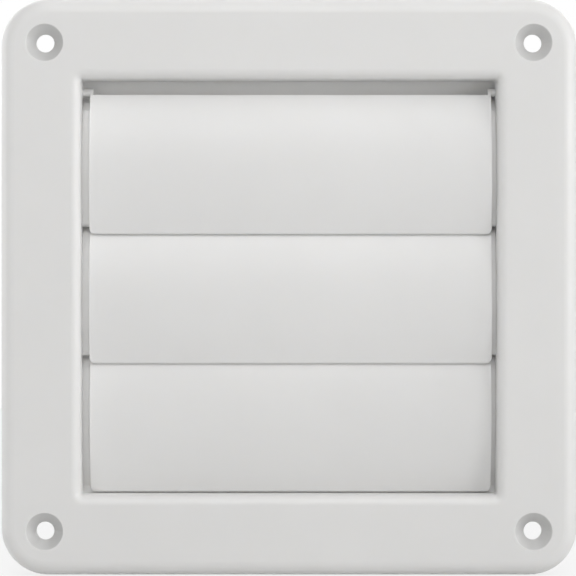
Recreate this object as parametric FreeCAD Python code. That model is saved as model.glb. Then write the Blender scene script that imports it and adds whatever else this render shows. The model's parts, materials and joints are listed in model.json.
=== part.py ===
"""Louvered vent cover for a round duct: one moulded frame and three gravity louvers.

Millimetres. The wall is the plane Y = 0 and the duct runs back along +Y, on the centre of the plate.
The front of the cover faces -Y, +X is to the right and +Z is up.
"""
import FreeCAD, Part
import math
import os

# Faceplate: a shallow tray, open at the back
PLATE_SIDE = 152.4
PLATE_DEPTH = 14.0
PLATE_CORNER_RADIUS = 12.5
PLATE_EDGE_RADIUS = 3.8
FACE_WALL = 2.4
SKIRT_WALL = 2.2
HOLLOW_CHAMFER = 0.8

# Well: the square recess that holds the louvers
WELL_SIDE = 110.0
WELL_CORNER_RADIUS = 0.6
WELL_EDGE_RADIUS = 2.6
WELL_WALL = 2.0
REAR_WALL = 2.0

# Collar: the round spigot that the duct slides over
COLLAR_DIAMETER = 98.4
COLLAR_WALL = 2.0
COLLAR_LENGTH = 38.0
COLLAR_LEAD_IN = 1.0

# Countersunk screw holes, one in each corner, in bosses cored from behind
SCREW_INSET = 11.7
SCREW_HOLE_DIAMETER = 4.8
COUNTERSINK_DIAMETER = 10.0
COUNTERSINK_ANGLE = 90.0
SCREW_LAND = 1.2
BOSS_CORE_DIAMETER = 8.0
BOSS_WALL = 1.8

# Stiffening ribs behind the face
RIB_THICKNESS = 1.4
RIB_SPREAD = 54.0

# Louvers: equal mouldings, shingled from the top down
LOUVER_NAMES = ("louver_upper", "louver_middle", "louver_lower")
LOUVER_OVERLAP = 3.6
TOP_PIN_DROP = 3.2
BOTTOM_GAP = 0.3
END_GAP = 1.65
END_FLOAT = 0.42
BLADE_THICKNESS = 1.4
BLADE_RADIUS = 56.0
BLADE_CORNER_RADIUS = 1.5
BLADE_TOP_DROP = 1.2
EAR_WIDTH = 0.8
TIP_SETBACK = 1.0
REST_GAP = 0.15

# Stub pins at the louvers' top corners, and their sockets in the well's side walls
PIN_DIAMETER = 2.2
PIN_DEPTH = 8.0
PIN_CLEARANCE = 0.05
PIN_END_GAP = 0.5
SOCKET_RIM = 1.8
SOCKET_LENGTH = 2.0

# Side stops on the well's walls, which follow the closed louvers' backs. Each starts with a ramp
# below one pin and ends over the next, closer to it beside the blade than behind it.
STOP_WIDTH = 3.5
STOP_GAP = 0.4
STOP_ABOVE_PIN = 2.0
CHEEK_WIDTH = 1.0
CHEEK_GAP = 0.3
RAMP_BELOW_PIN = 1.8

# Places and sizes that follow
FRONT_Y = -PLATE_DEPTH
WELL_HALF = WELL_SIDE / 2
WELL_OUTER_SIDE = WELL_SIDE + 2 * WELL_WALL
SKIRT_INNER_SIDE = PLATE_SIDE - 2 * SKIRT_WALL
COLLAR_RADIUS = COLLAR_DIAMETER / 2
BORE_RADIUS = COLLAR_RADIUS - COLLAR_WALL
SCREW_OFFSET = PLATE_SIDE / 2 - SCREW_INSET
PIN_RADIUS = PIN_DIAMETER / 2
PIN_Y = FRONT_Y + PIN_DEPTH
TIP_RADIUS = BLADE_THICKNESS / 2
WELL_FLOOR_Y = PIN_Y + TIP_SETBACK + TIP_RADIUS + REST_GAP
WELL_BACK_Y = WELL_FLOOR_Y + REAR_WALL
LOUVER_PITCH = (WELL_SIDE - TOP_PIN_DROP - BOTTOM_GAP - LOUVER_OVERLAP) / len(LOUVER_NAMES)
LOUVER_HANG = LOUVER_PITCH + LOUVER_OVERLAP
LOUVER_WIDTH = WELL_SIDE - 2 * END_GAP
TOP_PIN_Z = WELL_HALF - TOP_PIN_DROP

RIGHT = FreeCAD.Vector(1, 0, 0)
BACK = FreeCAD.Vector(0, 1, 0)


def rounded_prism(side, radius, front, back):
    """A square prism about the Y axis, from front to back, with rounded corners."""
    box = Part.makeBox(side, back - front, side, FreeCAD.Vector(-side / 2, front, -side / 2))
    corners = [edge for edge in box.Edges if abs(edge.tangentAt(edge.FirstParameter).y) > 0.99]
    return box.makeFillet(radius, corners)


def edges_in_plane(shape, y, half_limit):
    """Edges that lie in the plane at depth y, within half_limit of the Y axis both ways."""
    found = []
    for edge in shape.Edges:
        box = edge.BoundBox
        flat = abs(box.YMin - y) < 1e-4 and abs(box.YMax - y) < 1e-4
        near = max(-box.XMin, box.XMax, -box.ZMin, box.ZMax) < half_limit
        if flat and near:
            found.append(edge)
    return found


def rod(radius, start, direction, length):
    """A round bar from start along direction."""
    return Part.makeCylinder(radius, length, start, direction)


def tray():
    """The faceplate with its skirt: rounded outside, hollow behind."""
    outside = rounded_prism(PLATE_SIDE, PLATE_CORNER_RADIUS, FRONT_Y, 0)
    outside = outside.makeFillet(PLATE_EDGE_RADIUS, edges_in_plane(outside, FRONT_Y, PLATE_SIDE))
    hollow_front = FRONT_Y + FACE_WALL
    hollow = rounded_prism(SKIRT_INNER_SIDE, PLATE_CORNER_RADIUS - SKIRT_WALL, hollow_front, PLATE_DEPTH)
    hollow = hollow.makeChamfer(HOLLOW_CHAMFER, edges_in_plane(hollow, hollow_front, PLATE_SIDE))
    return outside.cut(hollow)


def ribs():
    """Two ribs on each side of the well, from its wall to the skirt."""
    reach = (SKIRT_INNER_SIDE - WELL_OUTER_SIDE) / 2 + SKIRT_WALL / 2 + WELL_WALL / 2
    start = WELL_OUTER_SIDE / 2 - WELL_WALL / 2
    front = FRONT_Y + FACE_WALL / 2
    depth = WELL_BACK_Y - front
    bars = []
    for place in (-RIB_SPREAD / 2, RIB_SPREAD / 2):
        corner = FreeCAD.Vector(place - RIB_THICKNESS / 2, front, start)
        bar = Part.makeBox(RIB_THICKNESS, depth, reach, corner)
        for turn in (0, 90, 180, 270):
            bars.append(bar.rotated(FreeCAD.Vector(), BACK, turn))
    return bars


def screw_places():
    """The four screw axes, as points in the wall plane."""
    return [FreeCAD.Vector(x, 0, z) for x in (-SCREW_OFFSET, SCREW_OFFSET)
            for z in (-SCREW_OFFSET, SCREW_OFFSET)]


def screw_bosses():
    """Posts that carry the screws' load to the wall, each tied to the skirt by two ribs."""
    front = FRONT_Y + FACE_WALL / 2
    tie_depth = WELL_BACK_Y - front
    tie_length = SCREW_INSET - SKIRT_WALL / 2
    solids = []
    for place in screw_places():
        foot = FreeCAD.Vector(place.x, front, place.z)
        solids.append(rod(BOSS_CORE_DIAMETER / 2 + BOSS_WALL, foot, BACK, -front))
        tie_x = place.x if place.x > 0 else place.x - tie_length
        tie_z = place.z if place.z > 0 else place.z - tie_length
        across = FreeCAD.Vector(tie_x, front, place.z - RIB_THICKNESS / 2)
        upright = FreeCAD.Vector(place.x - RIB_THICKNESS / 2, front, tie_z)
        solids.append(Part.makeBox(tie_length, tie_depth, RIB_THICKNESS, across))
        solids.append(Part.makeBox(RIB_THICKNESS, tie_depth, tie_length, upright))
    return solids


def screw_cutter():
    """Countersink, hole and rear core of one screw, turned about the Y axis."""
    sink = COUNTERSINK_DIAMETER / 2
    hole = SCREW_HOLE_DIAMETER / 2
    core = BOSS_CORE_DIAMETER / 2
    sink_depth = (sink - hole) / math.tan(math.radians(COUNTERSINK_ANGLE / 2))
    land_y = FRONT_Y + sink_depth
    core_y = land_y + SCREW_LAND
    outline = [(0, FRONT_Y), (sink, FRONT_Y), (hole, land_y), (hole, core_y), (core, core_y),
               (core, PLATE_DEPTH), (0, PLATE_DEPTH), (0, FRONT_Y)]
    wire = Part.makePolygon([FreeCAD.Vector(x, y, 0) for x, y in outline])
    return Part.Face(wire).revolve(FreeCAD.Vector(), BACK, 360)


def pin_height(index):
    """Height of a louver's pin axis, counted from the top."""
    return TOP_PIN_Z - index * LOUVER_PITCH


def socket_bosses():
    """Short rims round the pin sockets, on the outside of the well's side walls."""
    length = WELL_WALL / 2 + SOCKET_LENGTH
    radius = PIN_RADIUS + PIN_CLEARANCE + SOCKET_RIM
    start = WELL_OUTER_SIDE / 2 - WELL_WALL / 2
    rims = []
    for index in range(len(LOUVER_NAMES)):
        for side in (-1, 1):
            foot = FreeCAD.Vector(side * start, PIN_Y, pin_height(index))
            rims.append(rod(radius, foot, RIGHT * side, length))
    return rims


def socket_cutters():
    """The pin holes through the well's side walls and their rims."""
    length = WELL_WALL + SOCKET_LENGTH + WELL_CORNER_RADIUS
    holes = []
    for index in range(len(LOUVER_NAMES)):
        for side in (-1, 1):
            foot = FreeCAD.Vector(side * (WELL_HALF - WELL_CORNER_RADIUS / 2), PIN_Y, pin_height(index))
            holes.append(rod(PIN_RADIUS + PIN_CLEARANCE, foot, RIGHT * side, length))
    return holes


def collar():
    """The duct spigot, with a lead-in at its mouth."""
    pipe = rod(COLLAR_RADIUS, FreeCAD.Vector(0, WELL_FLOOR_Y, 0), BACK, COLLAR_LENGTH - WELL_FLOOR_Y)
    mouth = [edge for edge in pipe.Edges if abs(edge.BoundBox.YMin - COLLAR_LENGTH) < 1e-4]
    return pipe.makeChamfer(COLLAR_LEAD_IN, mouth)


def blade_arc_centre():
    """Centre of the blade's front arc, from the pin axis, as (forward, down).

    The arc is tangent to the pin at the top and to the rounded tip at the foot.
    """
    tip_forward, tip_down = -TIP_SETBACK, LOUVER_HANG - TIP_RADIUS
    span = math.hypot(tip_forward, tip_down)
    from_pin = BLADE_RADIUS - PIN_RADIUS
    from_tip = BLADE_RADIUS - TIP_RADIUS
    along = (span ** 2 + from_pin ** 2 - from_tip ** 2) / (2 * span)
    behind = math.sqrt(from_pin ** 2 - along ** 2)
    unit_forward, unit_down = tip_forward / span, tip_down / span
    return (along * unit_forward - behind * unit_down, along * unit_down + behind * unit_forward)


def turned(point, lean):
    """A (forward, down) point after the louver swings its foot forward by lean, in radians."""
    forward, down = point
    return (forward * math.cos(lean) + down * math.sin(lean),
            down * math.cos(lean) - forward * math.sin(lean))


def lean_against(lean_below):
    """Lean, in radians, at which a louver's tip rests on the front of the louver below it."""
    tip = (-TIP_SETBACK, LOUVER_HANG - TIP_RADIUS)
    centre_forward, centre_down = turned(blade_arc_centre(), lean_below)
    centre_down += LOUVER_PITCH
    to_tip = math.hypot(*tip)
    to_centre = math.hypot(centre_forward, centre_down)
    apart = BLADE_RADIUS + TIP_RADIUS + REST_GAP
    opening = math.acos((to_tip ** 2 + to_centre ** 2 - apart ** 2) / (2 * to_tip * to_centre))
    centre_angle = math.atan2(centre_forward, centre_down)
    return centre_angle + opening - math.atan2(tip[0], tip[1])


def resting_leans():
    """Lean of each louver from the top down: the lowest hangs at the well's floor, the rest lie on it."""
    leans = [0.0]
    while len(leans) < len(LOUVER_NAMES):
        leans.insert(0, lean_against(leans[0]))
    return leans


def profile_point(point):
    """A (forward, down) point of the louver's section, in the plane X = 0 with the pin at the origin."""
    return FreeCAD.Vector(0, -point[0], -point[1])


def blade_section(top_drop):
    """Section of the blade: front arc, rounded tip, back arc, closed top_drop below the pin axis."""
    centre = blade_arc_centre()
    tip = (-TIP_SETBACK, LOUVER_HANG - TIP_RADIUS)
    top_angle = math.atan2(-centre[1], -centre[0]) + top_drop / BLADE_RADIUS
    tip_angle = math.atan2(tip[1] - centre[1], tip[0] - centre[0])
    middle_angle = (top_angle + tip_angle) / 2

    def on_arc(radius, angle):
        return (centre[0] + radius * math.cos(angle), centre[1] + radius * math.sin(angle))

    inner_radius = BLADE_RADIUS - BLADE_THICKNESS
    front = [profile_point(on_arc(BLADE_RADIUS, angle)) for angle in (top_angle, middle_angle, tip_angle)]
    rear = [profile_point(on_arc(inner_radius, angle)) for angle in (tip_angle, middle_angle, top_angle)]
    along_tip = (-math.sin(tip_angle), math.cos(tip_angle))
    lowest = profile_point((tip[0] + TIP_RADIUS * along_tip[0], tip[1] + TIP_RADIUS * along_tip[1]))
    edges = [Part.Arc(*front).toShape(),
             Part.Arc(front[-1], lowest, rear[0]).toShape(),
             Part.Arc(*rear).toShape(),
             Part.makeLine(rear[-1], front[0])]
    return Part.Face(Part.Wire(edges))


def blade_outline():
    """Front view of the blade: a rectangle with its two lower corners rounded, as a prism along Y."""
    height = LOUVER_HANG + PIN_RADIUS
    corner = FreeCAD.Vector(-LOUVER_WIDTH / 2, -BLADE_RADIUS / 2, -LOUVER_HANG)
    block = Part.makeBox(LOUVER_WIDTH, BLADE_RADIUS, height, corner)
    lower = [edge for edge in block.Edges
             if abs(edge.tangentAt(edge.FirstParameter).y) > 0.99 and edge.BoundBox.ZMax < 0]
    return block.makeFillet(BLADE_CORNER_RADIUS, lower)


def louver(index, lean):
    """One louver in its place: a curved blade with an ear and a stub pin at each top corner."""
    blade = blade_section(BLADE_TOP_DROP).extrude(RIGHT * LOUVER_WIDTH)
    blade.translate(RIGHT * (-LOUVER_WIDTH / 2))
    blade = blade.common(blade_outline())
    ear = blade_section(0).extrude(RIGHT * EAR_WIDTH)
    ear_start = LOUVER_WIDTH / 2 - EAR_WIDTH
    pin_reach = WELL_OUTER_SIDE / 2 + SOCKET_LENGTH - PIN_END_GAP
    ear_cutter = blade_outline()
    extras = []
    for side in (-1, 1):
        start = side * ear_start
        ear_left = min(start, start + side * EAR_WIDTH)
        extras.append(ear.translated(RIGHT * ear_left).common(ear_cutter))
        extras.append(rod(PIN_RADIUS, RIGHT * start, RIGHT * side, pin_reach - ear_start))
    solid = blade.fuse(extras).removeSplitter()
    solid.rotate(FreeCAD.Vector(), RIGHT * -1, math.degrees(lean))
    solid.translate(FreeCAD.Vector(END_FLOAT, PIN_Y, pin_height(index)))
    return solid


def stop_block(left, width, ramp_z, foot):
    """A bar on the floor of the well, from foot up to a 45 degree ramp that meets the floor at ramp_z."""
    root_y = WELL_FLOOR_Y + REAR_WALL / 2
    ramp_root_z = ramp_z + root_y - WELL_FLOOR_Y
    outline = [(FRONT_Y, foot), (root_y, foot), (root_y, ramp_root_z),
               (FRONT_Y, ramp_root_z - root_y + FRONT_Y), (FRONT_Y, foot)]
    wire = Part.makePolygon([FreeCAD.Vector(left, y, z) for y, z in outline])
    return Part.Face(wire).extrude(RIGHT * width)


def side_stops():
    """Stops on both side walls of the well, one behind each end of each louver."""
    radius = BLADE_RADIUS - BLADE_THICKNESS - STOP_GAP
    stops = []
    for index, lean in enumerate(resting_leans()):
        forward, down = turned(blade_arc_centre(), lean)
        centre_y = PIN_Y - forward
        centre_z = pin_height(index) - down
        ramp_z = pin_height(index) - RAMP_BELOW_PIN
        for reach, over_pin in ((STOP_WIDTH, STOP_ABOVE_PIN), (CHEEK_WIDTH, PIN_RADIUS + CHEEK_GAP)):
            foot = pin_height(index + 1) + over_pin
            if index == len(LOUVER_NAMES) - 1:
                foot = -WELL_HALF - WELL_WALL / 2
            width = reach + WELL_WALL / 2
            for left in (-WELL_HALF - WELL_WALL / 2, WELL_HALF - reach):
                back = rod(radius, FreeCAD.Vector(left, centre_y, centre_z), RIGHT, width)
                stops.append(stop_block(left, width, ramp_z, foot).common(back))
    return stops


def frame():
    """The one-piece moulding: tray, well, collar, bosses, ribs and stops."""
    well_front = FRONT_Y + FACE_WALL / 2
    well_block = rounded_prism(WELL_OUTER_SIDE, WELL_CORNER_RADIUS + WELL_WALL, well_front, WELL_BACK_Y)
    solid = tray().fuse([well_block, collar()] + ribs() + screw_bosses() + socket_bosses())
    pocket = rounded_prism(WELL_SIDE, WELL_CORNER_RADIUS, FRONT_Y, WELL_FLOOR_Y)
    bore = rod(BORE_RADIUS, FreeCAD.Vector(0, WELL_FLOOR_Y, 0), BACK, COLLAR_LENGTH - WELL_FLOOR_Y)
    solid = solid.cut([pocket, bore])
    solid = solid.removeSplitter()
    solid = solid.makeFillet(WELL_EDGE_RADIUS, edges_in_plane(solid, FRONT_Y, WELL_OUTER_SIDE / 2))
    solid = solid.fuse(side_stops())
    cutter = screw_cutter()
    holes = socket_cutters()
    for place in screw_places():
        holes.append(cutter.translated(place))
    return solid.cut(holes).removeSplitter()


def write(name, shape):
    """Write one node as parts/NAME.step."""
    solids = shape.Solids
    print(name, "solids", len(solids), "valid", shape.isValid(), "volume", round(shape.Volume, 1))
    solids[0].exportStep(os.path.join("parts", name + ".step"))


os.makedirs("parts", exist_ok=True)
write("frame", frame())
for number, (louver_name, rest_lean) in enumerate(zip(LOUVER_NAMES, resting_leans())):
    print(louver_name, "lean", round(math.degrees(rest_lean), 2), "pin height", round(pin_height(number), 2))
    write(louver_name, louver(number, rest_lean))
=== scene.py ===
"""Looks of the louvered vent cover: moulded off-white plastic under soft studio light. Metres."""
import json
import math

import bmesh
import bpy
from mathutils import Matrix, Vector


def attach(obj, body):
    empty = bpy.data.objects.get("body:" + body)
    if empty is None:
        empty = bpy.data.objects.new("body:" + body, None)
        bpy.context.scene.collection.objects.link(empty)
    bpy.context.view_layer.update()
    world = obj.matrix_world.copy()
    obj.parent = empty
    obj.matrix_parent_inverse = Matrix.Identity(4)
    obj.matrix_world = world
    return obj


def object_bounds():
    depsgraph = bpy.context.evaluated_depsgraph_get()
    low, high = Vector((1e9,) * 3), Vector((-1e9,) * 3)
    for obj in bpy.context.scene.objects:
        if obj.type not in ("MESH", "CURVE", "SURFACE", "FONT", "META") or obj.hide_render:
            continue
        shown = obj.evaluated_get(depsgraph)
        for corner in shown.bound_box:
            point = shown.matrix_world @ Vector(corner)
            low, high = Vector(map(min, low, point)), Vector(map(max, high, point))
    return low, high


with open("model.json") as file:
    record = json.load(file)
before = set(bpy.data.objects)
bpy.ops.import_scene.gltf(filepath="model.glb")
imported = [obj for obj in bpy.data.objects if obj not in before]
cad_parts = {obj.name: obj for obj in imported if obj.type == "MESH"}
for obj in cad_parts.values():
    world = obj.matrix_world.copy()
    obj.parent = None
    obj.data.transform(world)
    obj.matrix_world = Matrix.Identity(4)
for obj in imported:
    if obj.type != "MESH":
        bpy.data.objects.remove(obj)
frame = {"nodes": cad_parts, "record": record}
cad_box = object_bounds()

MM = 0.001
WHITE = (1.0, 1.0, 1.0, 1.0)

# Plastics: the two ends of each one's cloud of colour, and the seed of that cloud
FRAME_COLOURS = ((0.768, 0.764, 0.754, 1.0), (0.787, 0.783, 0.773, 1.0))
FRAME_SEED = 1.0
LOUVER_COLOURS = ((0.773, 0.770, 0.762, 1.0), (0.792, 0.789, 0.781, 1.0))
LOUVER_SEED = 2.0

# Noises of the plastics, the part of their 0 to 1 range that is used, and what each one drives
NOISE_RANGE = (0.3, 0.7)
CLOUD = {"Scale": 28.0, "Detail": 3.0, "Roughness": 0.55, "Distortion": 0.4}
GLOSS = {"Scale": 160.0, "Detail": 4.0, "Roughness": 0.6}
GRAIN = {"Scale": 2600.0, "Detail": 2.0, "Roughness": 0.5}
WAVE = {"Scale": 55.0, "Detail": 1.0, "Roughness": 0.4}
GLOSS_ROUGHNESS = (0.36, 0.44)
GRAIN_BUMP = {"Strength": 0.10, "Distance": 0.012 * MM}
WAVE_BUMP = {"Strength": 0.15, "Distance": 0.25 * MM}
PLASTIC_BODY = {
    "IOR": 1.49,
    "Subsurface Weight": 0.25,
    "Subsurface Radius": (1.0, 0.95, 0.85),
    "Subsurface Scale": 1.0 * MM,
}

# Countersinks of the screw holes, and the painted shade on their walls: a greyer colour that
# stands in for the shade falling in them
SCREW_OFFSET = 64.5 * MM
SINK_RADIUS = 5.0 * MM
SINK_EDGE = 0.3 * MM
SINK_PAINTED_SHADE = (0.80, 0.80, 0.80, 1.0)

# Tips of the side stops at the middle and the lower pins: a hook over and before each pin, and a
# sill under it. Their sides are clear of the blades' ends, their heights count from the pin axis,
# and their depths from the wall. The stop's front is measured at two heights, STOP_STEP apart
TIP_SIDES = ((-55.05 * MM, -53.05 * MM), (53.9 * MM, 55.05 * MM))
TIP_BACK = -4.1 * MM
TIP_PROUD = 0.02 * MM
HOOK_HEAD = 2.1 * MM
HOOK_SHELF = 1.2 * MM
HOOK_FOOT = -1.45 * MM
HOOK_BACK = -7.3 * MM
HOOK_ROUNDING = 0.8 * MM
SILL_HEAD = -1.3 * MM
SILL_FOOT = -4.9 * MM
SILL_ROUNDING = 0.4 * MM
ROUNDING_SEGMENTS = 4
ROUND_PROFILE = 0.5
STOP_STEP = 1 * MM
SIGHT_START = 1 * MM

# Camera, square on to the plate as in the photograph. The sensor is in Blender's millimetres
EYE_DISTANCE = 650 * MM
SENSOR_WIDTH = 36.0
IMAGE_PIXELS = 576
PLATE_PIXELS = 578
PLATE_OFFSET_PIXELS = (1.0, 1.0)

# Studio: each lamp is given by its direction from the plate in degrees, its size and its strength.
# Azimuth 0 is in front and positive to the right
LAMP_DISTANCE = 1.1
LAMPS = {
    "key_right": {"azimuth": 50, "elevation": 10, "width": 0.4, "height": 0.4, "watts": 2.6},
    "side_right": {"azimuth": 80, "elevation": 10, "width": 0.4, "height": 0.4, "watts": 3.25},
    "front_left": {"azimuth": -35, "elevation": 10, "width": 0.4, "height": 0.4, "watts": 1.25},
    "top_front": {"azimuth": 0, "elevation": 35, "width": 0.5, "height": 0.4, "watts": 3.35},
    "top": {"azimuth": 0, "elevation": 60, "width": 0.6, "height": 0.6, "watts": 2.0},
    "rim_top": {"azimuth": 0, "elevation": 98, "width": 0.8, "height": 0.8, "watts": 2.9},
    "rim_left": {"azimuth": -100, "elevation": 10, "width": 0.6, "height": 0.6, "watts": 3.8},
    "back_left": {"azimuth": -150, "elevation": 25, "width": 0.8, "height": 0.8, "watts": 2.8},
    "back_right": {"azimuth": 160, "elevation": 25, "width": 0.8, "height": 0.8, "watts": 2.8},
}
AMBIENT = 0.0
BACKDROP = 1.0

# Floor: it ends where the lamps' light on it does, so that it has no grey far side
FLOOR_COLOUR = (0.80, 0.80, 0.80, 1.0)
FLOOR_ROUGHNESS = 0.9
FLOOR_SIZE = 1.8
FLOOR_GAP = 0.3 * MM
FLOOR_GLOW = 0.8


def add_node(tree, kind, operation=None, sockets=None):
    """A shader node with its operation and some of its sockets set."""
    node = tree.nodes.new(kind)
    if operation:
        node.operation = operation
    for socket, value in (sockets or {}).items():
        node.inputs[socket].default_value = value
    return node


def colour_ramp(tree, factor, places, colours):
    """A ramp between two colours over a part of a 0 to 1 factor."""
    ramp = add_node(tree, "ShaderNodeValToRGB")
    for element, place, colour in zip(ramp.color_ramp.elements, places, colours):
        element.position = place
        element.color = colour
    tree.links.new(factor, ramp.inputs["Fac"])
    return ramp.outputs["Color"]


def map_range(tree, value, source, target):
    """A value carried over from one range to another, and held within it."""
    ends = ("From Min", "From Max", "To Min", "To Max")
    node = add_node(tree, "ShaderNodeMapRange", sockets=dict(zip(ends, source + target)))
    tree.links.new(value, node.inputs["Value"])
    return node.outputs["Result"]


def painted_sink_shade(tree, place, colour):
    """The colour with painted shade: greyer on the walls of the four countersinks, where shade
    falls in them.
    """
    mirrored = add_node(tree, "ShaderNodeVectorMath", "ABSOLUTE")
    tree.links.new(place, mirrored.inputs[0])
    face_only = {1: (1.0, 0.0, 1.0), 2: (-SCREW_OFFSET, 0.0, -SCREW_OFFSET)}
    across = add_node(tree, "ShaderNodeVectorMath", "MULTIPLY_ADD", face_only)
    tree.links.new(mirrored.outputs["Vector"], across.inputs[0])
    distance = add_node(tree, "ShaderNodeVectorMath", "LENGTH")
    tree.links.new(across.outputs["Vector"], distance.inputs[0])
    edge = (SINK_RADIUS - SINK_EDGE, SINK_RADIUS)
    painted_shade_mask = map_range(tree, distance.outputs["Value"], edge, (1.0, 0.0))
    painted_shade_mix = add_node(tree, "ShaderNodeMixRGB", sockets={"Color2": SINK_PAINTED_SHADE})
    painted_shade_mix.blend_type = "MULTIPLY"
    tree.links.new(painted_shade_mask, painted_shade_mix.inputs["Fac"])
    tree.links.new(colour, painted_shade_mix.inputs["Color1"])
    return painted_shade_mix.outputs["Color"]


def plastic(name, colours, seed, with_painted_shade=False):
    """Moulded plastic: a cloud in its colour, uneven gloss, a fine grain, a slight waviness, and
    optionally painted shade on the countersinks' walls.
    """
    material = bpy.data.materials.new(name)
    material.use_nodes = True
    tree = material.node_tree
    shader = tree.nodes["Principled BSDF"]
    place = add_node(tree, "ShaderNodeTexCoord").outputs["Object"]

    noises = []
    for facts in (CLOUD, GLOSS, GRAIN, WAVE):
        noises.append(add_node(tree, "ShaderNodeTexNoise", sockets=facts))
        tree.links.new(place, noises[-1].inputs["Vector"])
    cloud, gloss, grain, wave = noises
    cloud.noise_dimensions = "4D"
    cloud.inputs["W"].default_value = seed

    colour = colour_ramp(tree, cloud.outputs["Fac"], NOISE_RANGE, colours)
    # Painted shade: the countersinks' walls are made greyer where shade falls in them
    if with_painted_shade:
        colour = painted_sink_shade(tree, place, colour)
    tree.links.new(colour, shader.inputs["Base Color"])

    roughness = map_range(tree, gloss.outputs["Fac"], NOISE_RANGE, GLOSS_ROUGHNESS)
    tree.links.new(roughness, shader.inputs["Roughness"])

    skin = add_node(tree, "ShaderNodeBump", sockets=GRAIN_BUMP)
    tree.links.new(grain.outputs["Fac"], skin.inputs["Height"])
    flow = add_node(tree, "ShaderNodeBump", sockets=WAVE_BUMP)
    tree.links.new(wave.outputs["Fac"], flow.inputs["Height"])
    tree.links.new(skin.outputs["Normal"], flow.inputs["Normal"])
    tree.links.new(flow.outputs["Normal"], shader.inputs["Normal"])

    for socket, value in PLASTIC_BODY.items():
        shader.inputs[socket].default_value = value
    return material


def dress(node_name, material):
    """Gives a carried-over node its finish."""
    for item in frame["nodes"][node_name].material_slots:
        item.material = material


def stop_front(x, z):
    """Depth of the frame's surface that is seen from the front at x, z."""
    solid = frame["nodes"]["frame"]
    start = Vector((x, cad_box[0].y - SIGHT_START, z))
    return solid.ray_cast(start, Vector((0, 1, 0)))[1].y


def stop_line(x, z, step):
    """The stop's front carried on in a straight line past z: its depth as a function of height."""
    near = stop_front(x, z) - TIP_PROUD
    slope = (stop_front(x, z + step) - stop_front(x, z)) / step
    return lambda height: near + slope * (height - z)


def add_bar(mesh, left, right, profile, rounding):
    """A bar along X with a profile of (y, z) points, its edge at the last point rounded."""
    ends = [[mesh.verts.new((x, y, z)) for y, z in profile] for x in (left, right)]
    mesh.faces.new(ends[0])
    mesh.faces.new(reversed(ends[1]))
    for here in range(len(profile)):
        after = (here + 1) % len(profile)
        mesh.faces.new((ends[0][here], ends[1][here], ends[1][after], ends[0][after]))
    edge = mesh.edges.get((ends[0][-1], ends[1][-1]))
    bmesh.ops.bevel(mesh, geom=[edge], offset=rounding, segments=ROUNDING_SEGMENTS, affect="EDGES",
                    profile=ROUND_PROFILE)


def add_stop_tip(mesh, left, right, pin_z):
    """The hook and the sill at one pin, their fronts in line with the stops above and below it."""
    middle = (left + right) / 2
    head, shelf, foot = pin_z + HOOK_HEAD, pin_z + HOOK_SHELF, pin_z + HOOK_FOOT
    front = stop_line(middle, head, STOP_STEP)
    hook = ((front(head), head), (TIP_BACK, head), (TIP_BACK, shelf), (HOOK_BACK, shelf),
            (HOOK_BACK, foot), (front(foot), foot))
    add_bar(mesh, left, right, hook, HOOK_ROUNDING)
    head, foot = pin_z + SILL_HEAD, pin_z + SILL_FOOT
    front = stop_line(middle, foot, -STOP_STEP)
    sill = ((TIP_BACK, head), (TIP_BACK, foot), (front(foot), foot), (front(head), head))
    add_bar(mesh, left, right, sill, SILL_ROUNDING)


def stop_tips(material):
    """The tips as one piece on the frame: at every hinge but the uppermost, on both sides."""
    mesh = bmesh.new()
    hinges = frame["record"]["behaviour"]["joints"][1:]
    for hinge in hinges:
        for left, right in TIP_SIDES:
            add_stop_tip(mesh, left, right, hinge["pos_m"][2])
    bmesh.ops.recalc_face_normals(mesh, faces=mesh.faces)
    data = bpy.data.meshes.new("stop_tips")
    mesh.to_mesh(data)
    mesh.free()
    data.materials.append(material)
    piece = bpy.data.objects.new("stop_tips", data)
    bpy.context.scene.collection.objects.link(piece)
    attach(piece, "frame")


def direction(azimuth, elevation):
    """Unit vector from the plate towards a lamp."""
    turn = math.radians(azimuth)
    rise = math.radians(elevation)
    level = math.cos(rise)
    return Vector((math.sin(turn) * level, -math.cos(turn) * level, math.sin(rise)))


def add_lamp(name, azimuth, elevation, width, height, watts):
    """A soft rectangular lamp that faces the plate."""
    lamp = bpy.data.lights.new(name, "AREA")
    lamp.shape = "RECTANGLE"
    lamp.size = width
    lamp.size_y = height
    lamp.energy = watts
    holder = bpy.data.objects.new(name, lamp)
    towards = direction(azimuth, elevation)
    holder.location = towards * LAMP_DISTANCE
    holder.rotation_mode = "QUATERNION"
    holder.rotation_quaternion = towards.to_track_quat("Z", "Y")
    bpy.context.scene.collection.objects.link(holder)


def seen_factor(tree):
    """1 for what the camera sees, straight or in a gloss or glass, and 0 for light on things."""
    path = add_node(tree, "ShaderNodeLightPath")
    seen = path.outputs["Is Camera Ray"]
    for ray in ("Is Glossy Ray", "Is Transmission Ray"):
        either = add_node(tree, "ShaderNodeMath", "MAXIMUM")
        tree.links.new(seen, either.inputs[0])
        tree.links.new(path.outputs[ray], either.inputs[1])
        seen = either.outputs["Value"]
    return seen


def mix_shaders(tree, factor, first, second, output):
    """Leads a mix of two shaders to an output node."""
    mix = add_node(tree, "ShaderNodeMixShader")
    tree.links.new(factor, mix.inputs["Fac"])
    tree.links.new(first, mix.inputs[1])
    tree.links.new(second, mix.inputs[2])
    tree.links.new(mix.outputs["Shader"], tree.nodes[output].inputs["Surface"])


def make_world():
    """White to the eye and in a gloss, with no light of its own on things."""
    world = bpy.data.worlds.new("studio")
    bpy.context.scene.world = world
    world.use_nodes = True
    tree = world.node_tree
    ambient = tree.nodes["Background"]
    ambient.inputs["Color"].default_value = WHITE
    ambient.inputs["Strength"].default_value = AMBIENT
    seen_light = {"Color": WHITE, "Strength": BACKDROP}
    backdrop = add_node(tree, "ShaderNodeBackground", sockets=seen_light)
    mix_shaders(tree, seen_factor(tree), ambient.outputs["Background"],
                backdrop.outputs["Background"], "World Output")


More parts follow.
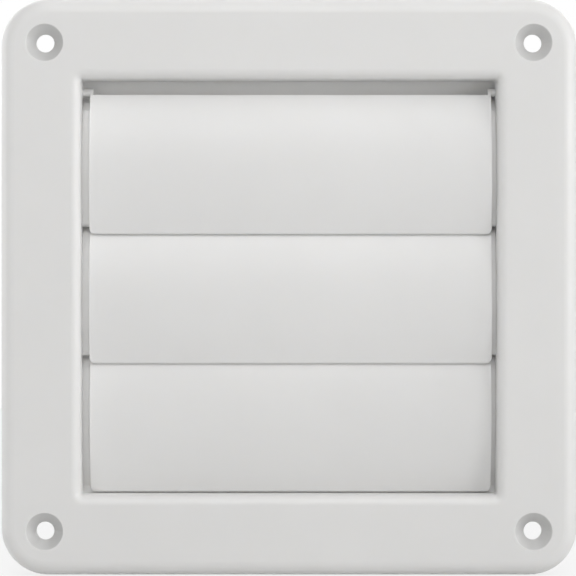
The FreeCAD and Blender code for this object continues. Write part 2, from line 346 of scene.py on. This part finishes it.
def make_floor():
    """A plain pale floor just under the cover, nearly white to the eye, that keeps its shadow."""
    bpy.ops.mesh.primitive_plane_add(size=FLOOR_SIZE, location=(0, 0, cad_box[0].z - FLOOR_GAP))
    floor = bpy.context.object
    floor.name = "floor"
    material = bpy.data.materials.new("floor")
    material.use_nodes = True
    tree = material.node_tree
    shader = tree.nodes["Principled BSDF"]
    shader.inputs["Base Color"].default_value = FLOOR_COLOUR
    shader.inputs["Roughness"].default_value = FLOOR_ROUGHNESS
    shader.inputs["Specular IOR Level"].default_value = 0.0
    glow = add_node(tree, "ShaderNodeEmission", sockets={"Color": WHITE})
    share = add_node(tree, "ShaderNodeMath", "MULTIPLY", {1: FLOOR_GLOW})
    tree.links.new(seen_factor(tree), share.inputs[0])
    mix_shaders(tree, share.outputs["Value"], shader.outputs["BSDF"], glow.outputs["Emission"],
                "Material Output")
    floor.data.materials.append(material)


def make_camera():
    """Square on to the plate, so far off that the plate fills the photograph's frame."""
    plate_side = cad_box[1].x - cad_box[0].x
    pixel = plate_side / PLATE_PIXELS
    camera = bpy.data.cameras.new("camera")
    camera.sensor_width = SENSOR_WIDTH
    camera.lens = SENSOR_WIDTH * EYE_DISTANCE / (pixel * IMAGE_PIXELS)
    holder = bpy.data.objects.new("camera", camera)
    across, up = PLATE_OFFSET_PIXELS
    holder.location = (-across * pixel, cad_box[0].y - EYE_DISTANCE, -up * pixel)
    holder.rotation_euler = (math.radians(90), 0, 0)
    bpy.context.scene.collection.objects.link(holder)
    bpy.context.scene.camera = holder


# The frame's plastic carries painted shade on the countersinks' walls
frame_finish = plastic("frame_plastic", FRAME_COLOURS, FRAME_SEED, with_painted_shade=True)
louver_finish = plastic("louver_plastic", LOUVER_COLOURS, LOUVER_SEED)
dress("frame", frame_finish)
for node_name in ("louver_upper", "louver_middle", "louver_lower"):
    dress(node_name, louver_finish)
stop_tips(frame_finish)

make_world()
make_floor()
for lamp_name, lamp_facts in LAMPS.items():
    add_lamp(lamp_name, **lamp_facts)
make_camera()
bpy.context.scene.view_settings.view_transform = "Standard"
